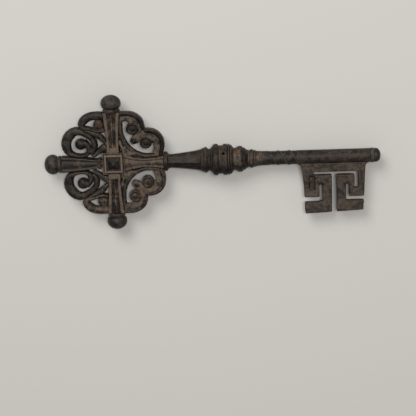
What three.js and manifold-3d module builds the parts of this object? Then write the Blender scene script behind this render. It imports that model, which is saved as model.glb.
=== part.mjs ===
// A large decorative skeleton key: an openwork scroll bow, a turned and twisted stem and a
// two-leaf bit cut as a meander. Millimetres. The key lies on its back with its face up: +X runs
// from the bow to the tip, the bit points towards -Y, and the stem's axis is one knop radius above
// the ground. The origin is on the ground under the middle of the key.

import * as THREE from "three";
import { mergeVertices } from "three/addons/utils/BufferGeometryUtils.js";
import Module from "manifold-3d";

const wasm = await Module();
wasm.setup();

// Fits
const seam = 0.3; // gap left between pieces that are cut to each other
const overrun = 1; // how far a cutting tool runs past the face it cuts

// Bow
const bowHalf = 47; // from the bow's centre to the outside of a lobe, along the stem
const bowHalfHeight = 46; // the same across the stem
const strapWidth = 8; // unit width of the scroll straps
const scrollThickness = 9.2; // raised straps and rims
const leafThickness = 7; // leaves and straps that fill the corners
const ledgeThickness = 5.4; // lower ledge inside the rims
const armThickness = 10.4;
const armOverhang = 0.6; // how far an arm's outer end stands past bowHalf or bowHalfHeight

// Boss in the middle of the bow
const padSide = 19.8;
const frameSide = 16.8;
const frameWidth = 1.8;
const frameRise = 1.5; // frame above the pad
const recessDepth = 1.2; // sunk field inside the frame, below the pad's face
const nailheadSide = 11;
const nailheadTip = 0.8; // blunt top of the nailhead
const nailheadStep = 0.6; // upright edge under the nailhead's facets
const nailheadRise = 3.2;
const tenonWidth = 5;
const tenonLength = 5;

// Eyes, buttons, volutes and buds of the scroll work
const eyeRadius = 5.3;
const eyeThickness = 9.6;
const discLap = 0.1; // how far the crest scroll's button runs into the band over it
const discThickness = 7.4;
const voluteRadius = 5.4;
const voluteCrease = 3.6; // radius of the groove round a volute's button
const voluteButton = 2.6;
const voluteThickness = 8.6;
const voluteGroove = 1.3;
const budRadius = 3.2;
const budThickness = 8.8;

// Ball finials
const finialNeckRadius = 7.7;
const finialNeckLength = 3.4;
const finialGrooveRadius = 7;
const finialGrooveLength = 0.6;
const finialBallRadius = 9.1;
const finialBallNear = 4.2; // from the groove to the ball's widest place
const finialBallFar = 7.6; // from there to the end
const finialPegRadius = 2.6;
const finialPegLength = 6;

// Stem, from the bow to the tip: lengths along the axis and largest radii
const spigotRadius = 3.2;
const spigotLength = 6;
const collarSetback = 1.7; // from the outside of the lobes back to the collar
const collarLength = 4.7;
const collarRadius = 8.75;
const balusterLength = 35;
const balusterRadius = 11.7;
const balusterSides = 8;
const knopLength = 23.6;
const knopRadius = 14.5;
const beadLength = 13.4;
const beadRadius = 11.8;
const ferruleLength = 12;
const ferruleRadius = 8.4;
const shankLength = 32.5;
const shankNeckLength = 6; // smooth length beside the ferrule
const shankRadius = 6.8; // over the spiral ridges
const shankHollowRadius = 6.2; // between them
const shankRidges = 2;
const shankPitch = 19.5; // along the axis for one turn of a ridge
const barrelRadius = 6.25;
const tipRingRadius = 6.6;
const tipRingLength = 3.2;
const tipGroove = 0.5;
const tipDomeLength = 5.9;
const tipSpigotLength = 3.4;

// Cross pin that holds the stem's core in the knop
const pinRadius = 1.5;
const pinSink = 2.5; // how far the pin's ends lie under the knop's surface
const pinOffset = 14.6; // from the knop's bow end to the pin's axis
const pinTurn = 0.58; // the pin's lean from the face of the key, in radians

// Bit. Depths are measured from the stem's axis.
const bitLead = 0.5; // barrel left bare before the bit's cove
const bitTail = 0.7; // and after it
const bitLength = 56.4;
const bitDepth = 51.2;
const bitThickness = 6.4;
const bitDraft = 1.8; // how much the bit narrows at each side towards its foot
const bitFillet = 4; // cove where the web runs into the barrel
const bitBevel = 0.6;
const bitTongueWidth = 3.6;
const bitTongueDepth = 1.6; // how deep the tongue sits in the barrel
const webDepth = 13.8; // down to the slot under the web
const wardWidth = 4.2; // middle slot between the two leaves
const slotWidth = 3.2; // slot under the web and down the outer side of a leaf
const outerStrip = 6.6; // metal left beside an outer slot
const innerStrip = 8.5; // metal left beside the middle slot
const outerSlotDepth = 29.6; // down to the blind end of an outer slot
const hookWidth = 2.8; // upright part of the slot that turns round the inside of a leaf
const hookHeight = 4.1; // level part of that slot
const hookTop = 25.8; // down to the blind top of the slot
const hookBottom = 41.4;
const recessSink = 1; // on the bow side the outer slot is only sunk into both faces
const recessDrop = 0.8; // from the slot under the web down to that recess

// Facets
const roundSides = 18;
const ballSides = 14;
const shankSides = 14;
const shankSteps = 20;

// Straps: each row is a point on the centre line as shares of bowHalf and bowHalfHeight, and a
// width as a share of strapWidth. The tables describe the upper half of the bow; the lower half
// mirrors it.
const leftScrollInnerShares = [
  [-0.557, 0.438, 0.68],
  [-0.498, 0.387, 0.6],
  [-0.457, 0.298, 0.6],
  [-0.481, 0.211, 0.53],
  [-0.564, 0.17, 0.38],
  [-0.681, 0.168, 0.38],
  [-0.809, 0.2, 0.5],
];
const leftScrollOuterShares = [
  [-0.745, 0.183, 0.33],
  [-0.838, 0.226, 0.75],
  [-0.894, 0.33, 1.02],
  [-0.894, 0.457, 1.11],
  [-0.823, 0.583, 1.11],
  [-0.689, 0.664, 0.93],
  [-0.536, 0.609, 0.68],
  [-0.417, 0.523, 0.65],
  [-0.353, 0.417, 0.65],
  [-0.36, 0.302, 0.62],
  [-0.417, 0.211, 0.55],
];
const discBandShare = 0.96; // height and width of the crest's band where its button stands
const discBandWidthShare = 0.88;
const crestShares = [
  [-0.136, 0.951, 0.88],
  [-0.287, discBandShare, discBandWidthShare],
  [-0.426, 0.94, 0.9],
  [-0.532, 0.874, 0.93],
  [-0.587, 0.787, 0.82],
  [-0.543, 0.721, 0.53],
  [-0.436, 0.709, 0.38],
  [-0.33, 0.668, 0.4],
  [-0.23, 0.651, 0.4],
  [-0.145, 0.672, 0.4],
];
const leafShares = [
  [-0.53, 0.683, 0.4],
  [-0.489, 0.672, 0.5],
  [-0.351, 0.609, 0.6],
  [-0.243, 0.54, 0.7],
  [-0.174, 0.464, 0.5],
  [-0.14, 0.417, 0.3],
];
const cornerStrapShares = [
  [-0.136, 0.332, 0.93],
  [-0.226, 0.281, 0.72],
  [-0.319, 0.209, 0.53],
  [-0.409, 0.149, 0.42],
];
const upperLedgeShares = [
  [0.14, 0.919, 1],
  [0.298, 0.928, 1.05],
  [0.438, 0.855, 1.27],
  [0.494, 0.728, 1.27],
  [0.438, 0.613, 1.1],
];
const upperRimShares = [
  [0.136, 0.985, 0.42],
  [0.34, 0.989, 0.42],
  [0.472, 0.936, 0.45],
  [0.557, 0.847, 0.45],
  [0.585, 0.753, 0.42],
  [0.602, 0.672, 0.38],
];
const lowerLedgeShares = [
  [0.557, 0.562, 0.95],
  [0.694, 0.574, 1.07],
  [0.817, 0.498, 1.15],
  [0.877, 0.362, 1],
  [0.86, 0.247, 0.88],
  [0.821, 0.162, 0.75],
];
const lowerRimShares = [
  [0.621, 0.647, 0.38],
  [0.757, 0.636, 0.42],
  [0.87, 0.57, 0.45],
  [0.94, 0.46, 0.45],
  [0.955, 0.332, 0.45],
  [0.936, 0.221, 0.42],
  [0.906, 0.14, 0.38],
];
const budStemShares = [
  [0.353, 0.391, 0.42],
  [0.417, 0.447, 0.93],
  [0.498, 0.515, 0.88],
  [0.587, 0.604, 0.62],
];
const coveShares = [
  [0.179, 0.894, 0.42],
  [0.166, 0.755, 0.4],
  [0.168, 0.628, 0.42],
  [0.189, 0.506, 0.47],
  [0.251, 0.366, 0.53],
  [0.349, 0.247, 0.53],
  [0.472, 0.17, 0.5],
  [0.617, 0.128, 0.47],
  [0.766, 0.136, 0.4],
  [0.872, 0.147, 0.33],
];

// Centres of the eyes, buttons and buds, as shares of bowHalf and bowHalfHeight
const eyeShare = [-0.619, 0.398];
const discFootShare = [-0.247, 0.673]; // where the button stands on the crest's inner curl
const upperVoluteShare = [0.385, 0.681];
const lowerVoluteShare = [0.638, 0.398];
const budShare = [0.417, 0.44];

// Arms: distance along the arm's own run as a share of it, and half width as a share of strapWidth
const uprightArmShares = [
  [0, 0.74],
  [0.18, 0.7],
  [0.51, 0.75],
  [0.8, 0.9],
  [1, 1],
];
const leftArmShares = [
  [0, 0.46],
  [0.06, 0.46],
  [0.18, 0.5],
  [0.39, 0.68],
  [0.74, 0.86],
  [1, 0.92],
];
const rightArmShares = [
  [0, 1.06],
  [0.1, 0.88],
  [0.25, 0.65],
  [0.49, 0.5],
  [0.74, 0.54],
  [0.9, 0.64],
  [1, 0.73],
];
const leftArmCollarShares = [0.04, 0.1]; // start and end of the small collar beside the boss
const leftArmCollarHalfShare = 0.56;

// Upper half of each cross-section, from the +side edge to the -side edge, as shares of the half
// width and half thickness. The lower half mirrors it.
const strapSectionShares = [
  [1, 0.3],
  [0.72, 0.84],
  [0, 1],
  [-0.72, 0.84],
  [-1, 0.3],
];
const ledgeSectionShares = [
  [1, 0.7],
  [0.8, 1],
  [-0.8, 1],
  [-1, 0.7],
];
const uprightArmSectionShares = [
  [1, 0.62],
  [0.88, 1],
  [0.62, 1],
  [0.46, 0.66],
  [0.16, 0.62],
  [0, 0.76],
  [-0.16, 0.62],
  [-0.46, 0.66],
  [-0.62, 1],
  [-0.88, 1],
  [-1, 0.62],
];
const levelArmSectionShares = [
  [1, 0.62],
  [0.9, 0.96],
  [0.68, 0.96],
  [0.56, 0.8],
  [0.14, 0.92],
  [-0.14, 0.92],
  [-0.56, 0.8],
  [-0.68, 0.96],
  [-0.9, 0.96],
  [-1, 0.62],
];

// Turned profiles: distance from the bow end as a share of the length and radius as a share of the
// largest radius
const balusterShares = [
  [0, 0.55],
  [0.07, 0.54],
  [0.27, 0.6],
  [0.48, 0.68],
  [0.69, 0.76],
  [0.86, 0.88],
  [0.89, 0.92],
  [0.9, 0.99],
  [0.99, 1],
  [1, 0.97],
];
const knopWaistShare = 0.88; // where the pin goes through
const knopShares = [
  [0, 0.71],
  [0.1, 0.69],
  [0.18, 0.78],
  [0.26, 0.93],
  [0.34, 1],
  [0.42, 0.97],
  [0.52, knopWaistShare],
  [0.6, 0.95],
  [0.7, 0.98],
  [0.82, 0.98],
  [0.91, 0.93],
  [0.97, 0.8],
  [1, 0.73],
];
const beadShares = [
  [0, 0.88],
  [0.12, 0.86],
  [0.3, 0.91],
  [0.37, 1],
  [0.52, 1],
  [0.6, 0.92],
  [0.75, 0.77],
  [0.9, 0.68],
  [1, 0.67],
];
const ferruleShares = [
  [0, 0.93],
  [0.2, 0.98],
  [0.33, 1],
  [0.5, 0.94],
  [0.7, 0.83],
  [0.85, 0.77],
  [1, 0.76],
];

// Places worked out from the sizes
const fullTurn = Math.PI * 2;
const rightAngle = fullTurn / 4;
const armInner = padSide / 2 + seam;
const levelReach = bowHalf + armOverhang;
const crestBandEdge = bowHalfHeight * discBandShare - (strapWidth * discBandWidthShare) / 2;
const uprightReach = bowHalfHeight + armOverhang;
const collarStart = bowHalf - collarSetback;
const collarEnd = collarStart + collarLength;
const balusterEnd = collarEnd + balusterLength;
const knopEnd = balusterEnd + knopLength;
const beadEnd = knopEnd + beadLength;
const ferruleEnd = beadEnd + ferruleLength;
const shankEnd = ferruleEnd + shankLength;
const bitStart = shankEnd + bitLead + bitFillet;
const barrelEnd = bitStart + bitLength + bitFillet + bitTail;
const tipEnd = barrelEnd + tipRingLength + tipDomeLength;
const finialLength = finialNeckLength + finialGrooveLength + finialBallNear + finialBallFar;
const bitMiddle = bitStart + bitLength / 2;

// A closed section from its upper half.
function closedSection(upperShares) {
  const lower = upperShares.map(([side, up]) => [side, -up]).reverse();
  return [...upperShares, ...lower];
}

// A closed body skinned over rings of points, with flat ends.
function loft(rings) {
  const count = rings[0].length;
  const positions = rings.flat().flatMap((point) => point.toArray());
  const indices = [];
  for (let ring = 0; ring + 1 < rings.length; ring += 1) {
    for (let side = 0; side < count; side += 1) {
      const a = ring * count + side;
      const b = ring * count + ((side + 1) % count);
      indices.push(a, b, a + count, b, b + count, a + count);
    }
  }
  addCap(indices, rings[0], 0, true);
  addCap(indices, rings[rings.length - 1], (rings.length - 1) * count, false);
  const geometry = new THREE.BufferGeometry();
  geometry.setAttribute("position", new THREE.Float32BufferAttribute(positions, 3));
  geometry.setIndex(indices);
  return geometry;
}

// Triangles over an end ring, which is laid in its own plane to find them.
function addCap(indices, ring, offset, reversed) {
  const origin = ring[0];
  const normal = new THREE.Vector3();
  for (let i = 1; i + 1 < ring.length; i += 1) {
    const first = ring[i].clone().sub(origin);
    const second = ring[i + 1].clone().sub(origin);
    normal.add(first.cross(second));
  }
  normal.normalize();
  const across = ring[1].clone().sub(origin).normalize();
  const up = normal.clone().cross(across);
  const flat = ring.map((point) => {
    const from = point.clone().sub(origin);
    return new THREE.Vector2(from.dot(across), from.dot(up));
  });
  for (const [a, b, c] of THREE.ShapeUtils.triangulateShape(flat, [])) {
    if (reversed) indices.push(offset + a, offset + c, offset + b);
    else indices.push(offset + a, offset + b, offset + c);
  }
}

// A solid from any closed geometry: shared vertices are merged and folded triangles left out.
function solid(geometry) {
  const bare = geometry.clone();
  bare.deleteAttribute("normal");
  bare.deleteAttribute("uv");
  const merged = mergeVertices(bare);
  const source = merged.getIndex().array;
  const kept = [];
  for (let i = 0; i < source.length; i += 3) {
    const [a, b, c] = [source[i], source[i + 1], source[i + 2]];
    if (a !== b && b !== c && c !== a) kept.push(a, b, c);
  }
  return new wasm.Manifold(
    new wasm.Mesh({
      numProp: 3,
      vertProperties: new Float32Array(merged.getAttribute("position").array),
      triVerts: new Uint32Array(kept),
    }),
  );
}

function join(...solids) {
  return solids.reduce((whole, next) => whole.add(next));
}

function cut(body, ...tools) {
  return tools.reduce((rest, tool) => rest.subtract(tool), body);
}

function box(low, high) {
  const size = high.clone().sub(low);
  const middle = high.clone().add(low).divideScalar(2);
  const geometry = new THREE.BoxGeometry(size.x, size.y, size.z);
  return geometry.translate(middle.x, middle.y, middle.z);
}

// A lathe-turned body along +X: each profile point is a distance along the axis and a radius.
function turned(profile, sides = roundSides) {
  const points = profile.map(([along, radius]) => new THREE.Vector2(radius, along));
  return new THREE.LatheGeometry(points, sides).rotateZ(-rightAngle);
}

// A round bar along +X.
function bar(start, end, radius) {
  return turned([
    [start, 0],
    [start, radius],
    [end, radius],
    [end, 0],
  ]);
}

// A strap along a centre line in the bow's plane. grow widens it all round, to cut a neighbour
// clear of it.
function strap(shares, upperSection, thickness, steps, grow = 0) {
  const spine = new THREE.CatmullRomCurve3(
    shares.map(
      ([x, y, width]) =>
        new THREE.Vector3(x * bowHalf, y * bowHalfHeight, (width * strapWidth) / 2),
    ),
  );
  const section = closedSection(upperSection);
  const halfThickness = thickness / 2 + grow;
  const rings = [];
  for (let step = 0; step <= steps; step += 1) {
    const at = spine.getPoint(step / steps);
    const along = spine.getTangent(step / steps);
    const across = new THREE.Vector2(-along.y, along.x).normalize().multiplyScalar(at.z + grow);
    rings.push(
      section.map(
        ([side, up]) =>
          new THREE.Vector3(at.x + across.x * side, at.y + across.y * side, up * halfThickness),
      ),
    );
  }
  return solid(loft(rings));
}

// A point of the bow's plane from its shares.
function bowPlace([x, y]) {
  return new THREE.Vector3(x * bowHalf, y * bowHalfHeight, 0);
}

// A flattened ball in the bow's plane.
function ball(place, radius, thickness, grow = 0) {
  const geometry = new THREE.SphereGeometry(radius + grow, ballSides, ballSides / 2);
  geometry.rotateX(rightAngle);
  geometry.scale(1, 1, (thickness / 2 + grow) / (radius + grow));
  return solid(geometry.translate(place.x, place.y, 0));
}

// A turned button in the bow's plane, the same on both faces. Each profile row is a radius and a
// height, from the middle outwards.
function button(place, profile) {
  const lower = profile.map(([radius, height]) => new THREE.Vector2(radius, -height));
  const upper = profile.map(([radius, height]) => new THREE.Vector2(radius, height)).reverse();
  const geometry = new THREE.LatheGeometry([...lower, ...upper], ballSides);
  geometry.rotateX(rightAngle);
  return solid(geometry.translate(place.x, place.y, 0));
}

function disc(grow) {
  const half = discThickness / 2 + grow;
  const foot = bowPlace(discFootShare);
  const discRadius = (crestBandEdge - foot.y) / 2 + discLap;
  const place = foot.setY(foot.y + discRadius);
  return button(place, [
    [0, half],
    [voluteButton, half],
    [discRadius + grow, half - voluteGroove],
  ]);
}

function volute(share, grow) {
  const half = voluteThickness / 2 + grow;
  const groove = half - voluteGroove;
  return button(bowPlace(share), [
    [0, half],
    [voluteButton / 2, half],
    [voluteButton, groove],
    [voluteCrease, groove],
    [(voluteCrease + voluteRadius) / 2, half],
    [voluteRadius + grow, groove],
  ]);
}

// An arm of the bow's cross along +X, turned about the bow's centre by an angle.
function arm(stationShares, upperSection, reach, angle, grow = 0) {
  const section = closedSection(upperSection);
  const inner = armInner - grow;
  const run = reach + grow - inner;
  const rings = stationShares.map(([along, half]) =>
    section.map(
      ([side, up]) =>
        new THREE.Vector3(
          inner + run * along,
          side * (half * strapWidth + grow),
          up * (armThickness / 2 + grow),
        ),
    ),
  );
  return solid(loft(rings).rotateZ(angle));
}

// Square peg between the boss and an arm.
function tenon(angle, grow = 0) {
  const half = tenonWidth / 2 + grow;
  const low = new THREE.Vector3(padSide / 2 - tenonLength - grow, -half, -half);
  const high = new THREE.Vector3(armInner + overrun, half, half);
  return solid(box(low, high).rotateZ(angle));
}

const upperArm = (grow) =>
  arm(uprightArmShares, uprightArmSectionShares, uprightReach, rightAngle, grow);
const leftArm = (grow) => arm(leftArmShares, levelArmSectionShares, levelReach, Math.PI, grow);
const rightArm = (grow) => arm(rightArmShares, levelArmSectionShares, collarStart, 0, grow);

// An arm with its tenon and the round hole that takes a peg at its outer end.
function finishedArm(body, reach, pegRadius, pegLength, angle) {
  const socket = bar(reach - pegLength - seam, reach + overrun, pegRadius + seam);
  return cut(join(body, tenon(angle)), solid(socket.rotateZ(angle)));
}

function leftArmCollar() {
  const [start, end] = leftArmCollarShares.map(
    (share) => armInner + (levelReach - armInner) * share,
  );
  const half = leftArmCollarHalfShare * strapWidth;
  const low = new THREE.Vector3(-end, -half, -armThickness / 2);
  const high = new THREE.Vector3(-start, half, armThickness / 2);
  return solid(box(low, high));
}

// A square body about +Z: each level is a half side and a height.
function squareBody(levels) {
  const corners = [
    [1, 1],
    [-1, 1],
    [-1, -1],
    [1, -1],
  ];
  return solid(
    loft(
      levels.map(([half, height]) =>
        corners.map(([x, y]) => new THREE.Vector3(x * half, y * half, height)),
      ),
    ),
  );
}

function chamferedPad(side, thickness, chamfer) {
  return squareBody([
    [side / 2 - chamfer, -thickness / 2],
    [side / 2, chamfer - thickness / 2],
    [side / 2, thickness / 2 - chamfer],
    [side / 2 - chamfer, thickness / 2],
  ]);
}

function bossBlock() {
  const body = chamferedPad(padSide, armThickness, frameRise / 2);
  const frame = chamferedPad(frameSide, armThickness + frameRise * 2, frameRise / 2);
  const field = frameSide / 2 - frameWidth;
  const floor = armThickness / 2 - recessDepth;
  const top = armThickness / 2 + frameRise + overrun;
  const fields = [
    box(new THREE.Vector3(-field, -field, floor), new THREE.Vector3(field, field, top)),
    box(new THREE.Vector3(-field, -field, -top), new THREE.Vector3(field, field, -floor)),
  ];
  const mortises = [0, 1, 2, 3].map((quarter) => tenon(quarter * rightAngle, seam));
  return cut(join(body, frame), ...fields.map(solid), ...mortises);
}

// The space that a neighbour of the boss keeps clear of.
function bossSpace() {
  const half = padSide / 2 + seam;
  const corner = new THREE.Vector3(half, half, armThickness);
  return solid(box(corner.clone().negate(), corner));
}

// A four-sided nailhead on the sunk field of the boss.
function nailhead() {
  const floor = armThickness / 2 - recessDepth;
  return squareBody([
    [nailheadSide / 2, floor],
    [nailheadSide / 2, floor + nailheadStep],
    [nailheadTip / 2, floor + nailheadRise],
  ]);
}

function finial(reach, angle, grow = 0) {
  const ballRadius = finialBallRadius + grow;
  const neckEnd = reach + finialNeckLength;
  const ballStart = neckEnd + finialGrooveLength;
  const ballMiddle = ballStart + finialBallNear;
  const profile = [
    [reach - finialPegLength, 0],
    [reach - finialPegLength, finialPegRadius],
    [reach, finialPegRadius],
    [reach, finialNeckRadius + grow],
    [neckEnd, finialNeckRadius + grow],
    [neckEnd, finialGrooveRadius],
    [ballStart, finialGrooveRadius],
  ];
  const nearTurn = Math.acos(finialGrooveRadius / ballRadius);
  const steps = 7;
  for (let step = 1; step < steps; step += 1) {
    const turn = ((nearTurn + rightAngle) * step) / steps - nearTurn;
    const half = turn < 0 ? finialBallNear / Math.sin(nearTurn) : finialBallFar;
    profile.push([ballMiddle + half * Math.sin(turn), ballRadius * Math.cos(turn)]);
  }
  profile.push([reach + finialLength, 0]);
  return solid(turned(profile, ballSides).rotateZ(angle));
}

const upperFinial = (grow) => finial(uprightReach, rightAngle, grow);

// Scroll work of the upper left quarter
function leftScroll(grow = 0) {
  return join(
    strap(leftScrollOuterShares, strapSectionShares, scrollThickness, 20, grow),
    strap(leftScrollInnerShares, strapSectionShares, scrollThickness, 10, grow),
    ball(bowPlace(eyeShare), eyeRadius, eyeThickness, grow),
  );
}

function crest(grow = 0) {
  return join(strap(crestShares, strapSectionShares, scrollThickness, 16, grow), disc(grow));
}

const leaf = (grow) => strap(leafShares, strapSectionShares, leafThickness, 8, grow);
const cornerStrap = () => strap(cornerStrapShares, strapSectionShares, leafThickness, 5);

// Scroll work of the upper right quarter
function lobe(ledgeShares, rimShares, share, grow) {
  return join(
    strap(ledgeShares, ledgeSectionShares, ledgeThickness, 9, grow),
    strap(rimShares, strapSectionShares, scrollThickness, 10, grow),
    volute(share, grow),
  );
}

const upperLobe = (grow = 0) => lobe(upperLedgeShares, upperRimShares, upperVoluteShare, grow);
const lowerLobe = (grow = 0) => lobe(lowerLedgeShares, lowerRimShares, lowerVoluteShare, grow);

function bud(grow = 0) {
  return join(
    strap(budStemShares, ledgeSectionShares, ledgeThickness, 5, grow),
    ball(bowPlace(budShare), budRadius, budThickness, grow),
  );
}

const cove = () => strap(coveShares, strapSectionShares, leafThickness, 14);

// Stem pieces. Each has a socket at its bow end and a spigot at its tip end.
function socketProfile(start, length = spigotLength) {
  return [
    [start + length + seam, 0],
    [start + length + seam, spigotRadius + seam],
    [start, spigotRadius + seam],
  ];
}

function spigotProfile(end, length = spigotLength) {
  return [
    [end, spigotRadius],
    [end + length, spigotRadius],
    [end + length, 0],
  ];
}

function profileFrom(shares, start, length, radius) {
  return shares.map(([along, out]) => [start + along * length, out * radius]);
}

function collar(grow = 0) {
  const bore = spigotRadius + seam;
  const outer = collarRadius + grow;
  const round = collarLength / 4;
  return solid(
    turned([
      [collarStart - grow, bore],
      [collarStart - grow, outer - round],
      [collarStart + round, outer],
      [collarEnd - round, outer],
      [collarEnd, outer - round],
      [collarEnd, bore],
      [collarStart - grow, bore],
    ]),
  );
}

function baluster() {
  const profile = [
    [collarStart - spigotLength, 0],
    [collarStart - spigotLength, spigotRadius],
    [collarEnd, spigotRadius],
    ...profileFrom(balusterShares, collarEnd, balusterLength, balusterRadius),
    ...spigotProfile(balusterEnd),
  ];
  return solid(turned(profile, balusterSides));
}

function turnedPiece(shares, start, length, radius) {
  return solid(
    turned([
      ...socketProfile(start),
      ...profileFrom(shares, start, length, radius),
      ...spigotProfile(start + length),
    ]),
  );
}

// The cross pin, or with some clearance the hole for it.
function crossPin(halfLength, radius) {
  const pin = new THREE.CylinderGeometry(radius, radius, halfLength * 2, roundSides / 2);
  return solid(pin.rotateX(rightAngle - pinTurn).translate(balusterEnd + pinOffset, 0, 0));
}

function knop() {
  const body = turnedPiece(knopShares, balusterEnd, knopLength, knopRadius);
  return cut(body, crossPin(knopRadius + overrun, pinRadius + seam));
}

// A round bar with a smooth neck and raised ridges that wind along the rest of it like a rope.
function twistedShank() {
  const twisted = shankLength - shankNeckLength;
  const ringAt = (along, turn, reach) => {
    const ring = [];
    for (let side = 0; side < shankSides; side += 1) {
      const angle = (side / shankSides) * fullTurn;
      const ridge = ((1 + Math.cos(angle * shankRidges)) / 2) ** 2;
      const radius = shankHollowRadius + (shankRadius - shankHollowRadius) * ridge * reach;
      const around = angle + turn;
      const x = ferruleEnd + along;
      ring.push(new THREE.Vector3(x, Math.cos(around) * radius, Math.sin(around) * radius));
    }
    return ring;
  };
  const rings = [ringAt(0, 0, 0)];
  for (let step = 0; step <= shankSteps; step += 1) {
    const along = (twisted * step) / shankSteps;
    rings.push(ringAt(shankNeckLength + along, (fullTurn * along) / shankPitch, 1));
  }
  const bore = bar(ferruleEnd - overrun, ferruleEnd + spigotLength + seam, spigotRadius + seam);
  const spigot = bar(shankEnd - overrun, shankEnd + spigotLength, spigotRadius);
  return join(cut(solid(loft(rings)), solid(bore)), solid(spigot));
}

// The tongue along the bit's upper edge. With some clearance it cuts the groove in the barrel.
function bitTongue(grow = 0) {
  const halfLength = bitLength / 2 - bitDraft + grow;
  const half = bitTongueWidth / 2 + grow;
  const top = bitTongueDepth + grow - barrelRadius;
  const low = new THREE.Vector3(bitMiddle - halfLength, -barrelRadius - bitFillet, -half);
  const high = new THREE.Vector3(bitMiddle + halfLength, top, half);
  return solid(box(low, high));
}

function barrel() {
  const body = turned([
    ...socketProfile(shankEnd),
    [shankEnd, barrelRadius],
    [barrelEnd, barrelRadius],
    ...spigotProfile(barrelEnd, tipSpigotLength),
  ]);
  return cut(solid(body), bitTongue(seam));
}

function tip() {
  const ringEnd = barrelEnd + tipRingLength;
  const domeStart = ringEnd + tipGroove;
  const steps = 6;
  const profile = [
    ...socketProfile(barrelEnd, tipSpigotLength),
    [barrelEnd, tipRingRadius],
    [ringEnd, tipRingRadius],
    [domeStart, barrelRadius - tipGroove],
  ];
  for (let step = 0; step < steps; step += 1) {
    const turn = (rightAngle * step) / steps;
    const along = domeStart + tipGroove + (tipEnd - domeStart - tipGroove) * Math.sin(turn);
    profile.push([along, barrelRadius * Math.cos(turn)]);
  }
  profile.push([tipEnd, 0]);
  return solid(turned(profile));
}

// Outline of the bit before it is pierced, centred along the stem.
function bitOutline() {
  const half = bitLength / 2;
  const foot = half - bitDraft;
  const web = barrelRadius + bitFillet;
  const shape = new THREE.Shape();
  shape.moveTo(-half - bitFillet, 0);
  shape.lineTo(-half - bitFillet, -barrelRadius);
  shape.quadraticCurveTo(-half, -barrelRadius, -half, -web);
  shape.lineTo(-foot, -bitDepth);
  shape.lineTo(foot, -bitDepth);
  shape.lineTo(half, -web);
  shape.quadraticCurveTo(half, -barrelRadius, half + bitFillet, -barrelRadius);
  shape.lineTo(half + bitFillet, 0);
  return shape;
}

// A square-cornered cutter from left to right of the bit's middle and between two depths. It goes
// right through unless it is given a floor or a ceiling.
function slot(left, right, top, bottom, floor = -bitThickness, ceiling = bitThickness) {
  const low = new THREE.Vector3(bitMiddle + left, -bottom, floor);
  const high = new THREE.Vector3(bitMiddle + right, -top, ceiling);
  return box(low, high);
}

function bit() {
  const half = bitLength / 2;
  const side = half + overrun;
  const slotBottom = webDepth + slotWidth;
  const outer = half - outerStrip - slotWidth;
  const hook = wardWidth / 2 + innerStrip;
  const plate = new THREE.ExtrudeGeometry(bitOutline(), {
    depth: bitThickness - bitBevel * 2,
    bevelThickness: bitBevel,
    bevelSize: bitBevel,
    bevelOffset: -bitBevel,
    bevelSegments: 1,
    curveSegments: 5,
  });
  plate.translate(bitMiddle, 0, bitBevel - bitThickness / 2);
  const recessFloor = bitThickness / 2 - recessSink;
  const recessTop = slotBottom + recessDrop;
  const recess = [-outer - slotWidth, -outer, recessTop, outerSlotDepth];
  const slots = [
    slot(-wardWidth / 2, wardWidth / 2, webDepth, bitDepth + overrun),
    slot(-outer, outer + slotWidth, webDepth, slotBottom),
    slot(outer, outer + slotWidth, webDepth, outerSlotDepth),
    slot(hook, hook + hookWidth, hookTop, hookBottom),
    slot(hook, side, hookBottom - hookHeight, hookBottom),
    slot(-hook - hookWidth, -hook, hookTop, hookBottom),
    slot(-side, -hook, hookBottom - hookHeight, hookBottom),
    slot(...recess, recessFloor),
    slot(...recess, -bitThickness, -recessFloor),
  ];
  const seat = bar(shankEnd - overrun, barrelEnd + overrun, barrelRadius + seam);
  return join(cut(solid(plate), ...slots.map(solid), solid(seat)), bitTongue());
}

// Materials
const finishes = {
  worn: { color: 0x3a3532, roughness: 0.5, metalness: 0.75 },
  patina: { color: 0x6a5a4b, roughness: 0.8, metalness: 0.45 },
  dark: { color: 0x2c2927, roughness: 0.42, metalness: 0.8 },
};

// A named mesh of a solid. flip mirrors it: [1, -1, 1] across the stem's axis, for example.
function piece(name, body, finish, flip = [1, 1, 1]) {
  const mesh = body.getMesh();
  const geometry = new THREE.BufferGeometry();
  geometry.setAttribute("position", new THREE.Float32BufferAttribute(mesh.vertProperties, 3));
  const order = Array.from(mesh.triVerts);
  const mirrored = flip.reduce((product, sign) => product * sign) < 0;
  geometry.setIndex(mirrored ? order.reverse() : order);
  geometry.scale(...flip);
  geometry.computeVertexNormals();
  const made = new THREE.Mesh(geometry, new THREE.MeshStandardMaterial(finishes[finish]));
  made.name = name;
  return made;
}

const acrossAxis = [1, -1, 1];
const acrossFace = [1, 1, -1];

// Each fill is cut clear of the pieces that were there before it.
function leftQuarter(side, flip) {
  const crestBody = cut(crest(), upperArm(seam), leftScroll(seam), upperFinial(seam));
  const leafBody = cut(leaf(0), upperArm(seam), leftScroll(seam), crest(seam));
  const arms = [upperArm(seam), leftArm(seam)];
  const strapTools = [bossSpace(), ...arms, leftScroll(seam), leaf(seam)];
  return [
    piece(`scroll_left_${side}`, cut(leftScroll(), leftArm(seam)), "dark", flip),
    piece(`crest_scroll_${side}`, crestBody, "dark", flip),
    piece(`leaf_${side}`, leafBody, "patina", flip),
    piece(`corner_strap_${side}`, cut(cornerStrap(), ...strapTools), "worn", flip),
  ];
}

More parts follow.
